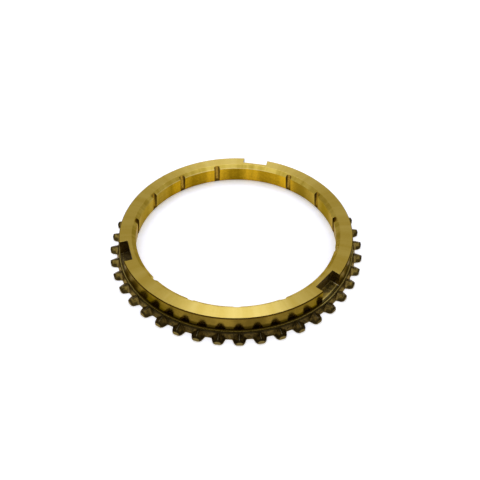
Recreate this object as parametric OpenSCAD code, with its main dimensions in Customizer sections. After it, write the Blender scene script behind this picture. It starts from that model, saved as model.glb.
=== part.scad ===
// Synchronizer ring with outer blocking teeth, three key slots and a grooved cone bore.
// It stands on its gear side. +Z is the ring's axis and points to the hub side, the origin is
// the centre of the gear-side face, and the middle of one key slot lies on +Y.
// The radii are built up from the bore outwards: cone, mouth chamfer, flat face, flange, teeth.

/* [Cone bore] */
// Least radius of the friction cone, just below the mouth chamfer
bore_radius = 33.8; // [28:0.1:40]
// Half-angle of the friction cone, in degrees; it opens towards the gear side
cone_angle = 8; // [5:0.5:9]
// Chamfer at the hub-side mouth of the bore, measured along each leg
mouth_chamfer = 1.25; // [0.6:0.05:1.6]
// Chamfer at the gear-side mouth of the bore, measured along each leg
foot_chamfer = 0.7; // [0.3:0.1:0.9]

/* [Body] */
// Total height, gear-side face to hub-side face
ring_height = 7.8; // [6.5:0.1:10]
// Width of the flat hub-side face, from the mouth chamfer to its outer edge
face_width = 3.95; // [3.2:0.05:5]
// Chamfer between the hub-side face and the outer wall, measured along each leg
edge_chamfer = 0.25; // [0.1:0.05:0.5]
// How much the outer wall widens from its top to its foot
wall_flare = 0.2; // [0.05:0.05:0.4]
// Radius of the fillet at the foot of the outer wall
wall_fillet = 0.35; // [0.2:0.05:0.45]

/* [Oil grooves] */
// Places for axial oil grooves round the bore; a place behind a key slot stays plain
groove_places = 15; // [9:3:18]
// Width of a groove
groove_width = 2.0; // [1.2:0.1:2.6]
// Depth of a groove where the bore is narrowest
groove_depth = 1.05; // [0.7:0.05:1.1]
// Radius of a groove's arched bottom
groove_arch = 2.0; // [1.6:0.1:3.0]

/* [Key slots] */
// Number of slots for the synchronizer keys
slot_count = 3; // [3:3:6]
// Width of a slot between its parallel side walls
slot_width = 9.0; // [6:0.1:11]
// Wall left between the narrowest bore and a slot's flat inner wall
slot_wall = 2.35; // [1.8:0.05:3]
// Height of a slot's floor above the top of the flange
slot_rise = 0.3; // [0.1:0.05:1]

/* [Flange] */
// Height of the toothed flange at the foot of the outer wall
flange_height = 2.3; // [2.1:0.05:3]
// How far the root between the teeth stands out past the hub-side face
flange_width = 2.0; // [1.6:0.1:2.6]
// How much the root surface draws in from the gear-side face to the flange's rim
root_draft = 0.85; // [0.4:0.05:0.9]

/* [Blocking teeth] */
// Number of teeth; three or six slots then meet a gap between two teeth
tooth_count = 42; // [36:6:48]
// Radial length of a tooth, root to tip
tooth_length = 2.1; // [1.6:0.1:3]
// Width of a tooth at the root
tooth_base = 4.15; // [3:0.05:4.4]
// Width of a tooth at its tip
tooth_tip = 2.75; // [1.8:0.05:2.9]
// Radius of the fillets between a tooth and the root
tooth_fillet = 0.45; // [0.2:0.05:0.5]
// Chamfer on the corners of the tip
tip_corner = 0.45; // [0.15:0.05:0.5]
// Bevel at the outer end of a tooth's ridge, measured along each leg
tip_bevel = 0.45; // [0.2:0.05:0.6]
// How far a tooth's pointed ridge lies below the top of the flange where it leaves the root
ridge_drop = 0.15; // [0.1:0.05:0.5]
// How far the ridge falls from the root to the tip
ridge_fall = 0.35; // [0.1:0.05:0.6]
// Slope of the two roof faces that meet in the ridge, in degrees
roof_angle = 38; // [30:1:42]

/* [Hidden] */
$fn = 180;

// Overrun of every cut past the surface that it opens
over = 0.5;
// How deep the teeth are sunk into the flange
tooth_sink = 1.2;
// Straight steps along a fillet
fillet_steps = 4;

brass = [0.72, 0.6, 0.28];

mouth_z = ring_height - mouth_chamfer;
mouth_radius = bore_radius + mouth_chamfer;
face_radius = mouth_radius + face_width;
wall_top_radius = face_radius + edge_chamfer;
wall_foot_radius = wall_top_radius + wall_flare;
slot_seat = bore_radius + slot_wall;
slot_floor = flange_height + slot_rise;
root_radius = face_radius + flange_width;
rim_radius = root_radius - root_draft;
tip_radius = root_radius + tooth_length;
ridge_height = flange_height - ridge_drop;
tip_height = ridge_height - ridge_fall - tip_bevel;
groove_bottom = bore_radius + groove_depth;
groove_pitch = 360 / groove_places;
slot_pitch = 360 / slot_count;
tooth_pitch = 360 / tooth_count;
slot_angle = 90;
flank_slope = (tooth_base - tooth_tip) / 2 / tooth_length;
ridge_tilt = atan(ridge_fall / tooth_length);

// Radius of the friction cone at height z
function cone_radius(z) = bore_radius + (mouth_z - z) * tan(cone_angle);

// Centre of the fillet between the outer wall and the top of the flange
fillet_x = wall_foot_radius + wall_fillet;
fillet_z = flange_height + wall_fillet;

// Half section of the ring without teeth, slots and grooves, as radius and height
function ring_section() = concat(
    [
        [cone_radius(foot_chamfer) + foot_chamfer, 0],
        [root_radius, 0],
        [rim_radius, flange_height]
    ],
    [
        for (i = [0:fillet_steps])
            let (a = 270 - 90 * i / fillet_steps)
            [fillet_x + wall_fillet * cos(a), fillet_z + wall_fillet * sin(a)]
    ],
    [
        [wall_top_radius, ring_height - edge_chamfer],
        [face_radius, ring_height],
        [mouth_radius, ring_height],
        [bore_radius, mouth_z],
        [cone_radius(foot_chamfer), foot_chamfer]
    ]
);

// Body and flange, turned in one
module turned_blank() {
    rotate_extrude() polygon(ring_section());
}

// Half width of a tooth at radius x
function flank_y(x) = tooth_base / 2 - flank_slope * (x - root_radius);

// Centre of the fillet between one flank and the root circle
flank_run = sqrt(1 + pow(flank_slope, 2));
fillet_reach = root_radius + tooth_fillet;
tooth_fillet_x = sqrt(pow(fillet_reach, 2) - pow(tooth_base / 2 + tooth_fillet, 2));
tooth_fillet_y = flank_y(tooth_fillet_x) + tooth_fillet * flank_run;

// The fillet from the root circle to the flank, as points on the +Y side
function fillet_points() =
    let (
        at_root = 180 + atan2(tooth_fillet_y, tooth_fillet_x),
        at_flank = 270 - atan(flank_slope)
    )
    [
        for (i = [0:fillet_steps])
            let (a = at_root + (at_flank - at_root) * i / fillet_steps)
            [tooth_fillet_x + tooth_fillet * cos(a), tooth_fillet_y + tooth_fillet * sin(a)]
    ];

// Half outline of one tooth from above, pointing along +X, from its foot to its tip
function half_tooth() = concat(
    [[root_radius - tooth_sink, fillet_points()[0][1]]],
    fillet_points(),
    [
        [tip_radius - tip_corner, flank_y(tip_radius - tip_corner)],
        [tip_radius, flank_y(tip_radius) - tip_corner]
    ]
);

function mirrored(points) = [for (i = [len(points) - 1:-1:0]) [points[i][0], -points[i][1]]];

module tooth_outline() {
    polygon(concat(half_tooth(), mirrored(half_tooth())));
}

// Two roof faces over a tooth that meet in its ridge; the ridge falls outwards
module tooth_roof() {
    half_span = tooth_base / 2 + 2 * tooth_fillet;
    eave = half_span * tan(roof_angle);
    translate([root_radius, 0, ridge_height])
        rotate([0, ridge_tilt, 0])
            translate([-tooth_sink - over, 0, 0])
                rotate([90, 0, 90])
                    linear_extrude(tooth_length + tooth_sink + 2 * over)
                        polygon([
                            [0, 0],
                            [-half_span, -eave],
                            [-half_span, -eave - ridge_height],
                            [half_span, -eave - ridge_height],
                            [half_span, -eave]
                        ]);
}

// Side view of a tooth, with the bevel that ends its ridge
module tooth_side() {
    above = ridge_height + over;
    rotate([90, 0, 0])
        linear_extrude(tooth_base + 4 * tooth_fillet, center = true)
            polygon([
                [root_radius - tooth_sink - over, 0],
                [tip_radius + over, 0],
                [tip_radius + over, tip_height - over],
                [tip_radius + tip_height - above, above],
                [root_radius - tooth_sink - over, above]
            ]);
}

// One blocking tooth, pointing along +X
module blocking_tooth() {
    intersection() {
        linear_extrude(ridge_height + over) tooth_outline();
        tooth_roof();
        tooth_side();
    }
}

// All blocking teeth; the first gap is centred on the first key slot
module blocking_teeth() {
    for (i = [0:tooth_count - 1])
        rotate([0, 0, slot_angle + (i + 0.5) * tooth_pitch]) blocking_tooth();
}

// Cutter for one key slot, open upwards and outwards
module key_slot() {
    translate([slot_seat, -slot_width / 2, slot_floor])
        cube([wall_foot_radius + over - slot_seat, slot_width, ring_height - slot_floor + over]);
}

module key_slots() {
    for (i = [0:slot_count - 1])
        rotate([0, 0, slot_angle + i * slot_pitch]) key_slot();
}

// Cutter for one oil groove: parallel side walls and an arched bottom
module oil_groove() {
    translate([groove_bottom - groove_arch, 0, -over])
        intersection() {
            cylinder(r = groove_arch, h = ring_height + 2 * over);
            translate([0, -groove_width / 2, 0])
                cube([groove_arch + over, groove_width, ring_height + 2 * over]);
        }
}

// A groove would weaken the thin wall behind a key slot, so those places stay plain
function behind_slot(i) = (i * slot_count) % groove_places == 0;

module oil_grooves() {
    for (i = [0:groove_places - 1])
        if (!behind_slot(i))
            rotate([0, 0, slot_angle + i * groove_pitch]) oil_groove();
}

module synchro_ring() {
    color(brass)
        difference() {
            union() {
                turned_blank();
                blocking_teeth();
            }
            key_slots();
            oil_grooves();
        }
}

synchro_ring();
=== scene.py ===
"""Looks of the synchronizer ring: one dense, bevelled mesh with its turned, milled and forged finishes.

Lengths on the ring are in millimetres, and its main sizes are those of the CAD part. The finished mesh is
scaled to metres. Floor, lamps and camera are placed in metres.
"""

import math

import bmesh
import bpy
from mathutils import Matrix, Vector


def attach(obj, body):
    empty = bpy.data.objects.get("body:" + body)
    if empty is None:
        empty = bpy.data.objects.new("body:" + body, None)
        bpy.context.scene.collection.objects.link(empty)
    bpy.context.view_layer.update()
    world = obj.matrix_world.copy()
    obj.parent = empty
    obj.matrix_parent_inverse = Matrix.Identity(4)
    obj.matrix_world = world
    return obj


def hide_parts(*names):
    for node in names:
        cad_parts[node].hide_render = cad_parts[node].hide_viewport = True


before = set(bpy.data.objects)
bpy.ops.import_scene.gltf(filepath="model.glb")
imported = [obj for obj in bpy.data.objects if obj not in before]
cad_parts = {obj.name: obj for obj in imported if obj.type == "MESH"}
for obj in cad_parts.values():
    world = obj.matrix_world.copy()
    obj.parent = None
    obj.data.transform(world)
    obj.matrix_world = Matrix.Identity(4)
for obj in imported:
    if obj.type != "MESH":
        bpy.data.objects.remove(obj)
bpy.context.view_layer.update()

MM = 0.001
TAU = 2 * math.pi

# Direction of the first key slot, groove place and gap between teeth
START = math.radians(90)

# Section of the ring
RING_HEIGHT = 7.8
BORE_RADIUS = 33.8
CONE_ANGLE = math.radians(8)
MOUTH_CHAMFER = 1.25
FOOT_CHAMFER = 0.7
FACE_RADIUS = 39.0
EDGE_CHAMFER = 0.25
WALL_TOP = 39.25
WALL_FOOT = 39.45
WALL_FILLET = 0.35
FLANGE_HEIGHT = 2.3
ROOT_RADIUS = 41.0
RIM_RADIUS = 40.15
MOUTH_Z = RING_HEIGHT - MOUTH_CHAMFER
MOUTH_RADIUS = BORE_RADIUS + MOUTH_CHAMFER
FOOT_RADIUS = BORE_RADIUS + (MOUTH_Z - FOOT_CHAMFER) * math.tan(CONE_ANGLE)

# Oil grooves
GROOVE_PLACES = 15
GROOVE_HALF = 1.0
GROOVE_BOTTOM = 34.85
GROOVE_ARCH = 2.0
GROOVE_PITCH = TAU / GROOVE_PLACES

# Key slots
SLOT_COUNT = 3
SLOT_HALF = 4.5
SLOT_SEAT = 36.15
SLOT_FLOOR = 2.6

# Blocking teeth
TOOTH_COUNT = 42
TOOTH_LENGTH = 2.1
TOOTH_BASE = 4.15
TOOTH_TIP = 2.75
TOOTH_FILLET = 0.45
TIP_BEVEL = 0.45
RIDGE_HEIGHT = 2.15
RIDGE_FALL = 0.35
ROOF_SLOPE = math.tan(math.radians(38))
TIP_RADIUS = ROOT_RADIUS + TOOTH_LENGTH
TIP_HEIGHT = RIDGE_HEIGHT - RIDGE_FALL - TIP_BEVEL
TOOTH_PITCH = TAU / TOOTH_COUNT

# Worn corners of the tips, across the tip and along the flank, and the easing at the foot of a roof
TIP_ROUND = 0.76
TIP_ROUND_ALONG = 1.3 * TIP_ROUND
ROOF_EASE = 0.28

# Circles that part the mesh on the flat faces
FACE_INNER = 35.85
CHAMFER_OUTER = 35.6
UNDER_INNER = 36.2
UNDER_OUTER = 40.3

# Steps of the mesh, up and down
WALL_FILLET_STEPS = 6
LEDGE_STEPS = 2
WALL_STEPS = 5
CONE_STEPS = 10
GROOVE_STEPS = 4

# Steps of the mesh round the ring
FILLET_STEPS = 5
FLANK_STEPS = 4
TIP_STEPS = 6
GAP_STEPS = 3
WALL_COLUMNS = 110
SLOT_COLUMNS = 12
LAND_COLUMNS = 20
GROOVE_COLUMNS = 8

# Angles from the middle of a slot or a groove at which the even columns beside it start
PAST_SLOT = math.radians(8)
PAST_GROOVE = math.radians(2.5)

# Corners closer than this are one; the crease of a tooth's roof settles in this many rounds
WELD = 0.002
CREASE_ROUNDS = 12

# Rounding of the edges
ROUNDING = 0.14
SHARP = math.radians(28)
ON_UNDERSIDE = 0.01
TOOTH_FOOT = 0.3

# Directions round the ring, in degrees, about which a finish carries painted light or shade of its own
RIGHT = 0
CONE_BANDS = 91
LIP_HIGHLIGHT = 125
DARK_SLOT = -150
SHADED_WALL = -134
LIT_TIPS = -90
LIT_GROOVE_TOPS = -78
SHADED_FLANGE = -76

# Heights between which a mark fades in, mostly painted light or shade; the slot's highlight line has an upper
# and a lower fade
LOW_SHADE_FADE = (4.7, 3.7)
CLIMB_FADE = (7.3, 5.9)
TOP_EDGE_FADE = (RING_HEIGHT - 0.6, RING_HEIGHT - 0.35)
LIP_FADE = (MOUTH_Z + 0.3, MOUTH_Z + 0.1)
GROOVE_TOP_FADE = (4.4, 5.8)
GROOVE_END_FADE = (2.2, 1.2)
LEDGE_FADE = (FLANGE_HEIGHT - 0.6, FLANGE_HEIGHT - 0.32)
SLOT_FLOOR_FADE = (SLOT_FLOOR + 0.06, SLOT_FLOOR + 0.02)
SLOT_LINE_FADES = (SLOT_FLOOR + 0.55, SLOT_FLOOR + 0.4), (SLOT_FLOOR + 0.04, SLOT_FLOOR + 0.14)

# Finishes, in the order of the piece's material slots
FACE, WALL, BORE, FLANGE, SLOT, UNDER, GROOVE = range(7)


def turned(x, y, z, angle):
    """Point (x, y, z) of a frame whose x axis points along angle."""
    c, s = math.cos(angle), math.sin(angle)
    return (c * x - s * y, s * x + c * y, z)


def at_angle(r, angle, z):
    return (r * math.cos(angle), r * math.sin(angle), z)


def at_offset(r, y, z):
    """Point at distance r from the axis and offset y."""
    return (math.sqrt(r * r - y * y), y, z)


def halfway(one, two):
    return tuple((p + q) / 2 for p, q in zip(one, two))


def span(a, b, n):
    return [a + (b - a) * i / n for i in range(n + 1)]


class Shell:
    """Collects faces by their corner points; equal corners are welded later."""

    def __init__(self):
        self.points, self.faces, self.finish = [], [], []

    def face(self, corners, finish):
        first = len(self.points)
        self.points.extend(corners)
        self.faces.append(range(first, first + len(corners)))
        self.finish.append(finish)

    def strip(self, columns, finishes):
        """Quads between neighbouring columns of points; finishes[i] is that of level i to i + 1."""
        for a, b in zip(columns, columns[1:]):
            for i, finish in enumerate(finishes):
                self.face((a[i], b[i], b[i + 1], a[i + 1]), finish)

    def zipper(self, one, two, finish):
        """Triangles between two flat closed loops round the axis with different stations."""
        loops = []
        for loop in (one, two):
            keyed = sorted((math.atan2(p[1], p[0]) % TAU, p) for p in loop)
            kept = [keyed[0]]
            for k in keyed[1:]:
                if k[0] - kept[-1][0] > 1e-5:
                    kept.append(k)
            kept.append((kept[0][0] + TAU, kept[0][1]))
            loops.append(kept)
        a, b = loops
        i = j = 0
        while i < len(a) - 1 or j < len(b) - 1:
            if j == len(b) - 1 or (i < len(a) - 1 and a[i + 1][0] <= b[j + 1][0]):
                self.face((a[i][1], a[i + 1][1], b[j][1]), finish)
                i += 1
            else:
                self.face((a[i][1], b[j + 1][1], b[j][1]), finish)
                j += 1


shell = Shell()

# Teeth and flange

flank_slope = (TOOTH_BASE - TOOTH_TIP) / 2 / TOOTH_LENGTH
ridge_slope = RIDGE_FALL / TOOTH_LENGTH
roof_run = ROOF_SLOPE * math.sqrt(1 + ridge_slope ** 2)
bevel_half = TIP_BEVEL / roof_run


def flank_y(x):
    return TOOTH_BASE / 2 - flank_slope * (x - ROOT_RADIUS)


fillet_x = math.sqrt((ROOT_RADIUS + TOOTH_FILLET) ** 2 - (TOOTH_BASE / 2 + TOOTH_FILLET) ** 2)
fillet_y = flank_y(fillet_x) + TOOTH_FILLET * math.sqrt(1 + flank_slope ** 2)
fillet_from = math.pi + math.atan2(fillet_y, fillet_x)
fillet_to = 1.5 * math.pi - math.atan(flank_slope)


def half_plan():
    """Half of a tooth from above, from the start of its fillet to the middle of its tip."""
    points = [(fillet_x + TOOTH_FILLET * math.cos(a), fillet_y + TOOTH_FILLET * math.sin(a))
              for a in span(fillet_from, fillet_to, FILLET_STEPS)]
    corner = (TIP_RADIUS, flank_y(TIP_RADIUS))
    before = (TIP_RADIUS - TIP_ROUND_ALONG, flank_y(TIP_RADIUS - TIP_ROUND_ALONG))
    after = (TIP_RADIUS, corner[1] - TIP_ROUND)
    x0, y0 = points[-1]
    points += [(x0 + (before[0] - x0) * t, y0 + (before[1] - y0) * t) for t in span(0, 1, FLANK_STEPS)[1:]]
    points += [tuple(p + (c - p) * math.sin(t) + (q - c) * (1 - math.cos(t))
                     for p, c, q in zip(before, corner, after))
               for t in span(0, math.pi / 2, TIP_STEPS)[1:]]
    return points + [(TIP_RADIUS, y) for y in ((after[1] + bevel_half) / 2, bevel_half, bevel_half / 2, 0.0)]


plan = half_plan()
plan_start = plan[0][1]


def roof(x, y):
    """Height of a tooth's roof, eased down to the foot where the fillet starts."""
    ease = min(1, (plan_start - abs(y)) / ROOF_EASE)
    return (RIDGE_HEIGHT - ridge_slope * (x - ROOT_RADIUS) - roof_run * abs(y)) * ease


def bevel_start(y):
    """Where a tooth's roof meets the bevel of its tip."""
    x = TIP_RADIUS - max(0, TIP_BEVEL - roof_run * abs(y)) / (1 - ridge_slope)
    return (x, y, roof(x, y))


def on_root(y, z):
    """Point of the drafted root surface at offset y and height z."""
    return at_offset(ROOT_RADIUS - (ROOT_RADIUS - RIM_RADIUS) * z / FLANGE_HEIGHT, y, z)


def root_crease(y):
    """Where a tooth's roof meets the root surface."""
    x = ROOT_RADIUS
    for _ in range(CREASE_ROUNDS):
        x = on_root(y, roof(x, y))[0]
    return on_root(y, roof(x, y))


def tooth_column(x, y, crease):
    """Column through one point of the plan: underside, foot, eave, bevel, crease and the flange's rim."""
    out = math.atan2(crease[1], crease[0])
    inner = at_angle(UNDER_OUTER, out, 0)
    rim = at_angle(RIM_RADIUS, out, FLANGE_HEIGHT)
    eave = (x, y, roof(x, y))
    middle = halfway(crease, rim)
    if x == TIP_RADIUS and y <= bevel_half:
        return [inner, (x, y, 0), (x, y, TIP_HEIGHT), bevel_start(y), crease, middle, rim]
    return [inner, (x, y, 0), eave, eave, crease, middle, rim]


def tooth_columns():
    """The columns of one tooth pitch, in a frame whose x axis runs through the tooth."""
    half = []
    start = math.atan2(plan[0][1], plan[0][0])
    for a in span(TOOTH_PITCH / 2, start, GAP_STEPS)[:-1]:
        foot = at_angle(ROOT_RADIUS, a, 0)
        rim = at_angle(RIM_RADIUS, a, FLANGE_HEIGHT)
        half.append([at_angle(UNDER_OUTER, a, 0), foot, foot, foot, foot, halfway(foot, rim), rim])
    foot = plan[0] + (0,)
    first = tooth_column(*plan[0], foot)
    first[2] = first[3] = foot
    half.append(first)
    n = len(plan) - 1
    half += [tooth_column(x, y, root_crease(plan_start * (1 - i / n))) for i, (x, y) in enumerate(plan) if i]
    other = [[(x, -y, z) for x, y, z in column] for column in half[-2::-1]]
    return half + other


pitch_columns = tooth_columns()
flange_columns = []
for k in range(TOOTH_COUNT):
    angle = START + (k + 0.5) * TOOTH_PITCH
    columns = [[turned(*p, angle) for p in column] for column in pitch_columns]
    shell.strip(columns, [UNDER] + [FLANGE] * 5)
    flange_columns += columns

# Outer wall, top face and key slots

fillet_end = math.asin(-(WALL_FILLET - (SLOT_FLOOR - FLANGE_HEIGHT)) / WALL_FILLET)
wall_fillet = [(WALL_FOOT + WALL_FILLET * (1 + math.cos(a)), FLANGE_HEIGHT + WALL_FILLET * (1 + math.sin(a)))
               for a in span(1.5 * math.pi, math.pi - fillet_end, WALL_FILLET_STEPS)]
wall_low = FLANGE_HEIGHT + WALL_FILLET
wall_high = RING_HEIGHT - EDGE_CHAMFER
wall_rows = [(WALL_FOOT + (WALL_TOP - WALL_FOOT) * t, wall_low + (wall_high - wall_low) * t)
             for t in span(0, 1, WALL_STEPS)]
corner_radius = math.hypot(SLOT_SEAT, SLOT_HALF)
face_circles = (FACE_RADIUS, (FACE_RADIUS + corner_radius) / 2, corner_radius, FACE_INNER)
wall_profile = wall_fillet + wall_rows + [(r, RING_HEIGHT) for r in face_circles]
ledge = [FLANGE] * LEDGE_STEPS
wall_finishes = ledge + [WALL] * (len(wall_fillet) + len(wall_rows) - LEDGE_STEPS) + [FACE] * 3
slot_finishes = ledge + [WALL] * (len(wall_fillet) - 1 - LEDGE_STEPS) + [SLOT] * 4 + [FACE]

wall_columns = []
for s in range(SLOT_COUNT):
    angle = START + s * TAU / SLOT_COUNT
    after = angle + TAU / SLOT_COUNT
    first = [turned(*at_offset(r, SLOT_HALF, z), angle) for r, z in wall_profile]
    last = [turned(*at_offset(r, -SLOT_HALF, z), after) for r, z in wall_profile]
    between = [[turned(r, 0, z, a) for r, z in wall_profile]
               for a in span(angle + PAST_SLOT, after - PAST_SLOT, WALL_COLUMNS)]
    columns = [first] + between + [last]
    shell.strip(columns, wall_finishes)
    wall_columns += columns

    slot_columns = []
    for y in span(-SLOT_HALF, SLOT_HALF, SLOT_COLUMNS):
        column = [at_offset(r, y, z) for r, z in wall_fillet]
        edge = at_offset(wall_fillet[-1][0], y, SLOT_FLOOR)
        seat = (SLOT_SEAT, y, SLOT_FLOOR)
        brow = (SLOT_SEAT, y, RING_HEIGHT)
        column += [halfway(edge, seat), seat, halfway(seat, brow), brow]
        column.append(at_offset(FACE_INNER, y, RING_HEIGHT))
        slot_columns.append([turned(*p, angle) for p in column])
    shell.strip(slot_columns, slot_finishes)
    wall_columns += slot_columns

    # Side walls, up the outer wall and back down the slot's inner wall and floor
    low = len(wall_fillet) - 1
    for y, inner in ((-SLOT_HALF, slot_columns[0]), (SLOT_HALF, slot_columns[-1])):
        side = [turned(*at_offset(r, y, z), angle) for r, z in wall_profile[low:-1]]
        shell.face(side + inner[low + 3:low:-1], SLOT)

shell.zipper([c[-1] for c in flange_columns], [c[0] for c in wall_columns], FLANGE)

# Bore, oil grooves and underside


def arch_x(y):
    """Where a groove's arched bottom lies at offset y, in a frame whose x axis runs through the groove."""
    return GROOVE_BOTTOM - GROOVE_ARCH + math.sqrt(GROOVE_ARCH ** 2 - y * y)


def chamfer_z(r):
    return RING_HEIGHT - (MOUTH_RADIUS - r)


def cone_z(r):
    return MOUTH_Z - (r - BORE_RADIUS) / math.tan(CONE_ANGLE)


def cone_r(z):
    return BORE_RADIUS + (MOUTH_Z - z) * math.tan(CONE_ANGLE)


groove_side = math.hypot(arch_x(GROOVE_HALF), GROOVE_HALF)
entry_z = chamfer_z(groove_side)
exit_z = cone_z(groove_side)
cone_rows = [(cone_r(z), z) for z in span(MOUTH_Z, exit_z, CONE_STEPS)]
bore_profile = [(CHAMFER_OUTER, RING_HEIGHT), (MOUTH_RADIUS, RING_HEIGHT), (groove_side, entry_z)] + cone_rows
bore_profile += [(FOOT_RADIUS, FOOT_CHAMFER), (FOOT_RADIUS + FOOT_CHAMFER, 0), (UNDER_INNER, 0)]
bore_finishes = [FACE] * 3 + [BORE] * (len(bore_profile) - 5) + [UNDER]


def groove_column(y):
    """One column down a groove: chamfer, arched bottom, then cone or foot chamfer."""
    x = arch_x(y)
    r = math.hypot(x, y)
    if r < FOOT_RADIUS:
        low = cone_z(r)
        foot = at_offset(FOOT_RADIUS, y, FOOT_CHAMFER)
    else:
        low = FOOT_CHAMFER - (r - FOOT_RADIUS)
        foot = (x, y, low)
    column = [at_offset(CHAMFER_OUTER, y, RING_HEIGHT), at_offset(MOUTH_RADIUS, y, RING_HEIGHT)]
    column += [(x, y, z) for z in span(chamfer_z(r), low, GROOVE_STEPS)]
    return column + [foot, at_offset(FOOT_RADIUS + FOOT_CHAMFER, y, 0), at_offset(UNDER_INNER, y, 0)]


# The places behind the key slots stay plain
grooves = [k for k in range(GROOVE_PLACES) if k * SLOT_COUNT % GROOVE_PLACES]
bore_columns = []
for k, following in zip(grooves, grooves[1:] + [grooves[0] + GROOVE_PLACES]):
    angle = START + k * GROOVE_PITCH
    after = START + following * GROOVE_PITCH
    first = [turned(*at_offset(r, GROOVE_HALF, z), angle) for r, z in bore_profile]
    last = [turned(*at_offset(r, -GROOVE_HALF, z), after) for r, z in bore_profile]
    between = [[turned(r, 0, z, a) for r, z in bore_profile]
               for a in span(angle + PAST_GROOVE, after - PAST_GROOVE, LAND_COLUMNS * (following - k))]
    columns = [first] + between + [last]
    shell.strip(columns, bore_finishes)
    bore_columns += columns

    groove_columns = [[turned(*p, angle) for p in groove_column(y)]
                      for y in span(-GROOVE_HALF, GROOVE_HALF, GROOVE_COLUMNS)]
    shell.strip(groove_columns, [FACE] * 2 + [GROOVE] * (len(groove_columns[0]) - 4) + [UNDER])
    bore_columns += groove_columns

    # Side walls, down the cone and back up the groove's bottom
    for y, bottom in ((-GROOVE_HALF, groove_columns[0]), (GROOVE_HALF, groove_columns[-1])):
        side = [turned(*at_offset(r, y, z), angle) for r, z in bore_profile[2:3 + len(cone_rows)]]
        shell.face(side + bottom[1 + GROOVE_STEPS:2:-1], GROOVE)

shell.zipper([c[-1] for c in wall_columns], [c[0] for c in bore_columns], FACE)
shell.zipper([c[0] for c in flange_columns], [c[-1] for c in bore_columns], UNDER)

# One welded, closed mesh

bm = bmesh.new()
corners = [bm.verts.new(p) for p in shell.points]
for indices, finish in zip(shell.faces, shell.finish):
    bm.faces.new([corners[i] for i in indices]).material_index = finish
bmesh.ops.remove_doubles(bm, verts=bm.verts, dist=WELD)
bmesh.ops.recalc_face_normals(bm, faces=bm.faces)


def edge_rounding(edge):
    """How much of the full bevel an edge gets, from 0 to 1."""
    if len(edge.link_faces) != 2 or edge.calc_face_angle() < SHARP:
        return 0
    middle = (edge.verts[0].co + edge.verts[1].co) / 2
    r, z = math.hypot(middle.x, middle.y), middle.z
    if r > RIM_RADIUS + 0.2:
        # Teeth, but for the thin ends of the roofs at their foot
        if ON_UNDERSIDE < z < TOOTH_FOOT:
            return 0
        return 0.9 if edge.is_convex else 0.5
    if r > WALL_FOOT - 0.05 and z < SLOT_FLOOR + 0.1:
        # The flange's rim is rounded, the wall's fillet and the slots' outer edge aren't
        return 0.6 if r > RIM_RADIUS - 0.02 else 0
    if r < groove_side + 0.3 and z < exit_z + 0.2:
        # Thin ends of the grooves in the cone
        return 0.4 if z <= ON_UNDERSIDE else 0
    return 0.6


weight = bm.edges.layers.float.new("bevel_weight_edge")
for e in bm.edges:
    e[weight] = edge_rounding(e)
for face in bm.faces:
    face.smooth = True
mesh = bpy.data.meshes.new("ring")
bm.to_mesh(mesh)
bm.free()
ring = bpy.data.objects.new("ring", mesh)
bpy.context.collection.objects.link(ring)


def apply(modifier):
    with bpy.context.temp_override(object=ring, active_object=ring):
        bpy.ops.object.modifier_apply(modifier=modifier.name)


bevel = ring.modifiers.new("rounding", "BEVEL")
bevel.limit_method = "WEIGHT"
bevel.width = ROUNDING
bevel.segments = 2
bevel.use_clamp_overlap = False
apply(bevel)

# The bevel leaves two collapsed faces at the foot of each tooth
bm = bmesh.new()
bm.from_mesh(mesh)
feet = [e for e in bm.edges if e.verts[0].co.xy.length > ROOT_RADIUS - 0.2 and e.verts[0].co.z < TOOTH_FOOT]
bmesh.ops.dissolve_degenerate(bm, dist=WELD, edges=feet)
bm.to_mesh(mesh)
bm.free()

normals = ring.modifiers.new("normals", "WEIGHTED_NORMAL")
normals.weight = 80
normals.keep_sharp = False
apply(normals)
mesh.transform(Matrix.Scale(MM, 4))

# Finishes


def rgb(r, g, b):
    """A colour written as seen on the screen, as linear values."""
    shares = (c / 255 for c in (r, g, b))
    return tuple(c / 12.92 if c <= 0.04045 else ((c + 0.055) / 1.055) ** 2.4 for c in shares) + (1.0,)


class Nodes:
    """Short way to write node trees; values are sockets or numbers."""

    def __init__(self, owner):
        owner.use_nodes = True
        self.tree = owner.node_tree
        self.tree.nodes.clear()

    def add(self, kind, inputs=None, **settings):
        node = self.tree.nodes.new(kind)
        for key, value in settings.items():
            setattr(node, key, value)
        for key, value in (inputs or {}).items():
            self.put(node.inputs[key], value)
        return node

    def put(self, socket, value):
        if isinstance(value, bpy.types.NodeSocket):
            self.tree.links.new(value, socket)
        else:
            socket.default_value = value

    def math(self, operation, *values):
        node = self.add("ShaderNodeMath", operation=operation)
        for socket, value in zip(node.inputs, values):
            self.put(socket, value)
        return node.outputs[0]

    def plus(self, one, two):
        return self.math("ADD", one, two)

    def minus(self, one, two):
        return self.math("SUBTRACT", one, two)

    def times(self, one, two):
        return self.math("MULTIPLY", one, two)

    def either(self, one, two):
        return self.math("MAXIMUM", one, two)

    def vector(self, x, y, z):
        return self.add("ShaderNodeCombineXYZ", {"X": x, "Y": y, "Z": z}).outputs[0]

    def spread(self, value, low, high, to_low=0.0, to_high=1.0):
        """Smooth step of value from low to high; low may be the greater one."""
        inputs = {"Value": value, "From Min": low, "From Max": high, "To Min": to_low, "To Max": to_high}
        return self.add("ShaderNodeMapRange", inputs, interpolation_type="SMOOTHSTEP").outputs["Result"]

    def blend(self, factor, one, two, blend_type="MIX"):
        node = self.add("ShaderNodeMix", data_type="RGBA", blend_type=blend_type)
        self.put(node.inputs[0], factor)
        self.put(node.inputs[6], one)
        self.put(node.inputs[7], two)
        return node.outputs[2]

    def surface(self, inputs):
        shader = self.add("ShaderNodeBsdfPrincipled", inputs)
        self.put(self.add("ShaderNodeOutputMaterial").inputs["Surface"], shader.outputs[0])


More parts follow.
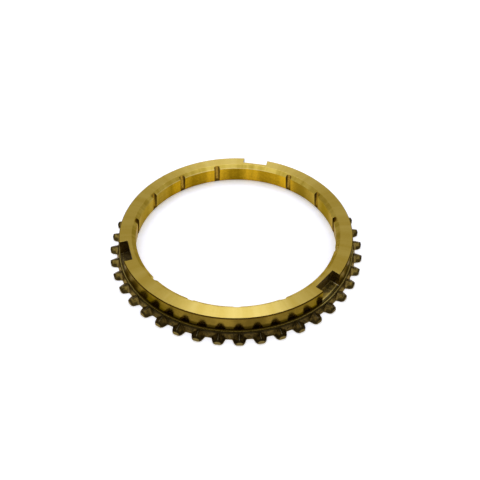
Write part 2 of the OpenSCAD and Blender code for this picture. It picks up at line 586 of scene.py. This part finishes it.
class Finish(Nodes):
    """A material of the ring that knows its place on it: r and z in mm, angle in radians."""

    def __init__(self, name):
        self.material = bpy.data.materials.new(name)
        super().__init__(self.material)
        place = {0: self.add("ShaderNodeTexCoord").outputs["Object"], "Scale": 1 / MM}
        self.position = self.add("ShaderNodeVectorMath", place, operation="SCALE").outputs[0]
        x, y, self.z = self.add("ShaderNodeSeparateXYZ", {0: self.position}).outputs
        self.r = self.math("SQRT", self.plus(self.times(x, x), self.times(y, y)))
        self.angle = self.math("ARCTAN2", y, x)
        self.cos = self.math("COSINE", self.angle)
        self.sin = self.math("SINE", self.angle)

    def noise(self, scale, detail, roughness, vector=None):
        inputs = {"Scale": scale, "Detail": detail, "Roughness": roughness}
        inputs["Vector"] = self.position if vector is None else vector
        return self.add("ShaderNodeTexNoise", inputs).outputs["Fac"]

    def towards(self, degrees, low, high, to_low=0.0, to_high=1.0):
        """Mask that grows from low to high of the cosine of the angle from one direction round the ring."""
        away = self.math("COSINE", self.minus(self.angle, math.radians(degrees)))
        return self.spread(away, low, high, to_low, to_high)

    def across(self, pitch, shift):
        """Distance in mm, along the ring, from the middle of the nearest of equal places."""
        turn = self.plus(self.math("DIVIDE", self.minus(self.angle, START), pitch), shift)
        return self.times(self.times(self.minus(self.math("FRACT", turn), 0.5), pitch), self.r)

    def bump(self, height, strength, distance):
        inputs = {"Strength": strength, "Distance": distance, "Height": height}
        return self.add("ShaderNodeBump", inputs).outputs[0]


def turned_brass(name, rough, aniso, marks, bump, pale, deep, along="z", contrast=0.18, zone_scale=9.0,
                 streak=0.28, bands=0.0, edge=rgb(232, 216, 168), dress=None):
    """Brass cut on a lathe, with fine rings and with light drawn out across them.

    marks and bump are how close and how deep the rings are, and streak is their share in the colour.
    zone_scale and contrast set the broad zones, on the cone painted reflections; bands adds painted
    reflection bands that repeat with the grooves.
    dress paints what only one surface has; it finds the broad noises in n.patch, n.zones and n.shine.
    """
    n = Finish(name)
    rings = n.vector(n.cos, n.sin, n.times(n.z if along == "z" else n.r, marks))
    fine = n.noise(6.0, 5.0, 0.7, rings)
    n.patch = n.noise(1.6, 3.0, 0.6)
    n.zones = n.noise(1.0, 3.0, 0.55, n.vector(n.times(n.cos, zone_scale), n.times(n.sin, zone_scale), 0.0))
    # On the cone, painted reflection bands, one for each groove place
    if bands:
        wave = n.math("COSINE", n.times(n.minus(n.angle, math.radians(CONE_BANDS)), GROOVE_PLACES))
        n.zones = n.plus(n.times(n.zones, 0.6), n.plus(n.times(wave, bands), 0.2))
    broad = n.plus(n.times(n.zones, 0.85 - streak), n.times(n.patch, 0.15))
    n.shine = n.spread(n.plus(n.times(fine, streak), broad), 0.5 - contrast, 0.5 + contrast)
    colour = n.blend(n.shine, deep, pale)
    roughness = n.plus(rough, n.times(n.minus(n.patch, 0.5), 0.06))
    if dress:
        colour, roughness = dress(n, colour, roughness)
    height = n.plus(fine, n.times(n.patch, 0.3))
    n.surface({
        "Base Color": colour, "Metallic": 1.0, "Roughness": roughness, "Specular Tint": edge,
        "Anisotropic": aniso, "Anisotropic Rotation": 0.25,
        "Tangent": n.add("ShaderNodeTangent", direction_type="RADIAL", axis="Z").outputs[0],
        "Normal": n.bump(height, bump, 0.02 * MM),
    })
    return n.material


def dress_face(n, colour, roughness):
    """Painted uneven light on the mouth chamfer, and a painted highlight on part of its lower edge."""
    uneven = n.blend(n.spread(n.zones, 0.4, 0.6), (0.86, 0.84, 0.57, 1.0), (1.05, 1.05, 0.86, 1.0))
    colour = n.blend(n.spread(n.r, MOUTH_RADIUS + 0.02, MOUTH_RADIUS - 0.1), colour, uneven, "MULTIPLY")
    # Painted highlight along the chamfer's lower edge, towards the back
    lip = n.times(n.spread(n.z, *LIP_FADE, 0.0, 0.3), n.towards(LIP_HIGHLIGHT, 0.6, 0.85))
    return n.blend(lip, colour, rgb(250, 236, 170)), roughness


def dress_cone(n, colour, roughness):
    """Painted reflection: greyer gold on the cone's left and right."""
    beside = n.either(n.towards(RIGHT, 0.35, 0.75), n.towards(RIGHT, -0.8, -0.95))
    return n.blend(beside, colour, n.blend(n.shine, rgb(144, 119, 42), rgb(186, 157, 70))), roughness


def dress_wall(n, colour, roughness):
    """Painted shade: brown low on the wall and on its top edge, a patch that climbs up, and darker left and
    right, where it is also rougher.
    """
    # Painted shade low on the wall, the dark reflection of the shaded floor between the teeth
    low_shade = n.spread(n.plus(n.z, n.times(n.minus(n.patch, 0.5), 0.5)), *LOW_SHADE_FADE)
    colour = n.blend(n.times(low_shade, 0.92), colour, rgb(50, 38, 7))
    # Painted dark reflection on the wall's top edge
    colour = n.blend(n.spread(n.z, *TOP_EDGE_FADE, 0.0, 0.8), colour, rgb(70, 48, 6))
    # Painted shade that climbs up the wall on the left front
    climb = n.spread(n.plus(n.z, n.times(n.patch, 0.8)), *CLIMB_FADE)
    climb = n.times(climb, n.towards(SHADED_WALL, 0.86, 0.97))
    colour = n.blend(n.times(climb, 0.75), colour, rgb(62, 50, 14))
    # Painted shade on the left and right, where the wall is also rougher
    beside = n.either(n.towards(RIGHT, 0.78, 0.93), n.towards(RIGHT, -0.4, -0.72))
    colour = n.blend(n.times(beside, 0.68), colour, rgb(68, 51, 22))
    return colour, n.plus(roughness, n.times(beside, 0.2))


def cut_groove():
    """Oil grooves with brown painted shade along the side walls and at the lower end, and painted light on
    the tops at the front.
    """
    n = Finish("cut_groove")
    clean = n.blend(n.spread(n.noise(2.0, 3.0, 0.6), 0.35, 0.65), rgb(136, 104, 30), rgb(172, 138, 54))
    off_middle = n.math("ABSOLUTE", n.across(GROOVE_PITCH, 0.5))
    # Painted light at the top of the grooves on the front
    top = n.times(n.towards(LIT_GROOVE_TOPS, 0.05, 0.25), n.spread(n.z, *GROOVE_TOP_FADE))
    # Painted shade along the side walls and at the lower end
    brown = n.either(n.spread(off_middle, 0.3, 0.7), n.spread(n.z, *GROOVE_END_FADE))
    brown = n.times(brown, n.minus(0.8, n.times(top, 0.8)))
    colour = n.blend(top, n.blend(brown, clean, rgb(54, 36, 8)), rgb(198, 178, 96))
    n.surface({"Base Color": colour, "Metallic": 1.0, "Roughness": 0.3, "Specular Tint": rgb(206, 176, 96)})
    return n.material


def forged_brass():
    """Dark, mottled skin of flange and teeth, with painted shade and light; ridges paler from wear and a
    painted highlight.
    """
    n = Finish("forged_brass")
    blotch = n.noise(0.9, 5.0, 0.65)
    grain = n.noise(6.0, 4.0, 0.6)
    tone = n.plus(n.times(blotch, 0.6), n.times(grain, 0.4))
    worn = n.spread(tone, 0.36, 0.66)
    # Painted shade: the skin is golden, with a darker copy of it towards the front
    flange_shade = n.towards(SHADED_FLANGE, 0.5, 0.84)
    golden = n.blend(worn, rgb(60, 50, 22), rgb(154, 131, 64))
    colour = n.blend(flange_shade, golden, n.blend(worn, rgb(34, 27, 11), rgb(106, 86, 38)))

    # Paler ridge of each tooth, from wear and as a painted highlight
    off_middle = n.math("ABSOLUTE", n.across(TOOTH_PITCH, 0.0))
    ridge = n.times(n.spread(off_middle, 0.26, 0.06), n.spread(n.r, ROOT_RADIUS - 0.5, ROOT_RADIUS + 0.1))
    ridge = n.times(ridge, n.spread(n.r, TIP_RADIUS - 0.5, TIP_RADIUS - 0.7))
    colour = n.blend(n.times(ridge, 0.6), colour, rgb(164, 148, 106))

    # Painted shade as a dark border along its flanks and tip
    flank = n.minus(TOOTH_BASE / 2, n.times(n.minus(n.r, ROOT_RADIUS), flank_slope))
    border = n.spread(n.minus(flank, off_middle), 0.95, 0.4)
    border = n.either(border, n.spread(n.r, TIP_RADIUS - 1.0, TIP_RADIUS - 0.45))
    border = n.times(border, n.spread(n.r, ROOT_RADIUS + 0.1, ROOT_RADIUS + 0.5))
    colour = n.blend(n.times(border, 0.82), colour, rgb(32, 25, 9))

    # Painted light on the root surface away from the shaded front, and on the tips, most of all at the front
    band = n.times(n.spread(n.r, ROOT_RADIUS + 0.05, ROOT_RADIUS - 0.05), n.minus(1.0, flange_shade))
    colour = n.blend(n.times(band, 0.45), colour, rgb(122, 103, 64))
    tip = n.spread(n.r, TIP_RADIUS - 0.12, TIP_RADIUS - 0.02)
    tip = n.times(tip, n.towards(LIT_TIPS, 0.62, 0.86, 0.12, 1.0))
    colour = n.blend(n.times(tip, 0.74), colour, rgb(130, 114, 66))

    # Dark rim of the flange, and a painted highlight line on the ledge on its top, brighter left and right
    above = n.spread(n.z, *LEDGE_FADE)
    colour = n.blend(n.times(above, 0.85), colour, rgb(34, 27, 8))
    ledge = n.blend(n.spread(n.math("ABSOLUTE", n.cos), 0.4, 0.9), rgb(92, 77, 27), rgb(134, 118, 62))
    colour = n.blend(n.times(above, n.spread(n.r, RIM_RADIUS - 0.1, RIM_RADIUS - 0.25)), colour, ledge)

    height = n.plus(n.times(blotch, 0.7), n.times(grain, 0.5))
    n.surface({
        "Base Color": colour, "Metallic": 0.88, "Roughness": n.spread(tone, 0.3, 0.7, 0.22, 0.4),
        "Specular Tint": rgb(226, 206, 168), "Normal": n.bump(height, 0.35, 0.2 * MM),
    })
    return n.material


def milled_brass():
    """Key slots as the cutter left them, with faint strokes, and darker as painted shade in the recess."""
    n = Finish("milled_brass")
    stretch = {0: n.position, 1: (1.2, 1.2, 9.0)}
    stretched = n.add("ShaderNodeVectorMath", stretch, operation="MULTIPLY").outputs[0]
    strokes = n.noise(1.0, 4.0, 0.6, stretched)
    broad = n.noise(0.5, 4.0, 0.6)
    tone = n.plus(n.times(strokes, 0.5), n.times(broad, 0.5))
    wall = n.blend(n.spread(tone, 0.35, 0.65), rgb(62, 47, 15), rgb(106, 84, 29))
    # Painted shade in the slot on the left: darker floor, and no highlight line there
    shade = n.towards(DARK_SLOT, 0.8, 0.95)

    # Painted highlight line where the walls meet the floor, brightest at the outer end
    upper, lower = SLOT_LINE_FADES
    foot = n.times(n.spread(n.z, *upper), n.spread(n.z, *lower))
    foot = n.times(foot, n.minus(1.0, shade))
    outer = n.spread(n.r, SLOT_SEAT + 1.2, SLOT_SEAT + 1.8)
    wall = n.blend(foot, wall, n.blend(outer, rgb(166, 152, 100), rgb(236, 228, 200)))

    # Floor, with a painted highlight line and a dark border at its outer edge, and painted shade in the slot
    # on the left
    ground = n.blend(n.spread(broad, 0.4, 0.6), rgb(96, 80, 34), rgb(148, 124, 50))
    ground = n.blend(n.spread(n.r, WALL_FOOT - 1.05, WALL_FOOT - 0.85), ground, rgb(186, 162, 80))
    ground = n.blend(n.spread(n.r, WALL_FOOT - 0.65, WALL_FOOT - 0.5), ground, rgb(70, 60, 18))
    ground = n.blend(n.times(shade, 0.8), ground, rgb(78, 64, 34))

    n.surface({
        "Base Color": n.blend(n.spread(n.z, *SLOT_FLOOR_FADE), wall, ground),
        "Metallic": n.minus(0.75, n.times(foot, 0.5)), "Roughness": n.spread(tone, 0.3, 0.7, 0.22, 0.38),
        "Normal": n.bump(strokes, 0.1, 0.02 * MM),
    })
    return n.material


finishes = {
    FACE: turned_brass("turned_face", 0.4, 0.9, 9.0, 0.15, rgb(208, 184, 98), rgb(192, 164, 71),
                       along="r", dress=dress_face),
    WALL: turned_brass("turned_wall", 0.15, 0.3, 3.0, 0.08, rgb(137, 112, 42), rgb(92, 73, 24),
                       contrast=0.12, zone_scale=4.0, edge=rgb(236, 220, 180), dress=dress_wall),
    BORE: turned_brass("threaded_cone", 0.3, 0.6, 0.4, 0.12, rgb(208, 164, 34), rgb(130, 101, 9),
                       contrast=0.11, zone_scale=4.5, streak=0.1, bands=0.055, dress=dress_cone),
    FLANGE: forged_brass(),
    SLOT: milled_brass(),
    UNDER: turned_brass("turned_underside", 0.34, 0.6, 6.0, 0.2, rgb(196, 168, 88), rgb(164, 136, 64),
                        along="r"),
    GROOVE: cut_groove(),
}
for index in sorted(finishes):
    mesh.materials.append(finishes[index])

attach(ring, "root")
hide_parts("synchro_ring")

# Floor, light and camera

FLOOR_HALF = 2.0
FLOOR_GAP = 0.1 * MM
FLOOR_GLOW = 0.3


def floor_white():
    """White floor; what the camera and reflections see of it is lifted a little, and the shadow stays."""
    material = bpy.data.materials.new("floor_white")
    n = Nodes(material)
    path = n.add("ShaderNodeLightPath").outputs
    seen = n.either(path["Is Camera Ray"], n.either(path["Is Glossy Ray"], path["Is Transmission Ray"]))
    n.surface({
        "Base Color": (0.92, 0.92, 0.92, 1.0), "Roughness": 0.8, "Specular IOR Level": 0.1,
        "Emission Color": (1.0, 1.0, 1.0, 1.0), "Emission Strength": n.times(seen, FLOOR_GLOW),
    })
    return material


floor_mesh = bpy.data.meshes.new("floor")
floor_corners = [(FLOOR_HALF * x, FLOOR_HALF * y, -FLOOR_GAP)
                 for x, y in ((-1, -1), (1, -1), (1, 1), (-1, 1))]
floor_mesh.from_pydata(floor_corners, [], [(0, 1, 2, 3)])
floor_mesh.materials.append(floor_white())
floor = bpy.data.objects.new("floor", floor_mesh)
bpy.context.collection.objects.link(floor)


def softbox(name, place, size, watts, colour):
    """A square lamp that looks at the ring's centre."""
    light = bpy.data.lights.new(name, "AREA")
    light.shape = "SQUARE"
    light.size = size
    light.energy = watts
    light.color = colour
    lamp = bpy.data.objects.new(name, light)
    lamp.location = place
    lamp.rotation_euler = (-Vector(place)).to_track_quat("-Z", "Y").to_euler()
    bpy.context.collection.objects.link(lamp)


softbox("overhead", (-0.03, 0.1, 0.6), 0.34, 1.25, (0.88, 0.98, 1.5))
softbox("left", (-0.25, -0.33, 0.44), 0.3, 0.2, (0.9, 0.98, 1.3))
softbox("right", (0.27, -0.3, 0.44), 0.3, 0.16, (0.9, 0.98, 1.3))

# Sky that is brighter overhead than at the horizon
world = bpy.data.worlds.new("studio")
bpy.context.scene.world = world
n = Nodes(world)
direction = n.add("ShaderNodeSeparateXYZ", {0: n.add("ShaderNodeTexCoord").outputs["Generated"]})
strength = n.spread(direction.outputs["Z"], 0.0, 1.0, 0.22, 0.8)
background = n.add("ShaderNodeBackground", {"Color": (1.0, 0.96, 0.78, 1.0), "Strength": strength})
n.put(n.add("ShaderNodeOutputWorld").inputs["Surface"], background.outputs[0])

# Camera as fitted to the photograph
camera_data = bpy.data.cameras.new("camera")
camera_data.lens = 38.992
camera_data.sensor_width = 36
camera = bpy.data.objects.new("camera", camera_data)
camera.location = (0.026249, -0.126963, 0.127383)
camera.rotation_euler = Matrix((
    (0.980878, -0.137625, 0.137612),
    (0.194607, 0.684571, -0.702489),
    (0.002475, 0.715836, 0.698264),
)).to_euler()
bpy.context.collection.objects.link(camera)
bpy.context.scene.camera = camera
bpy.context.scene.view_settings.view_transform = "Standard"
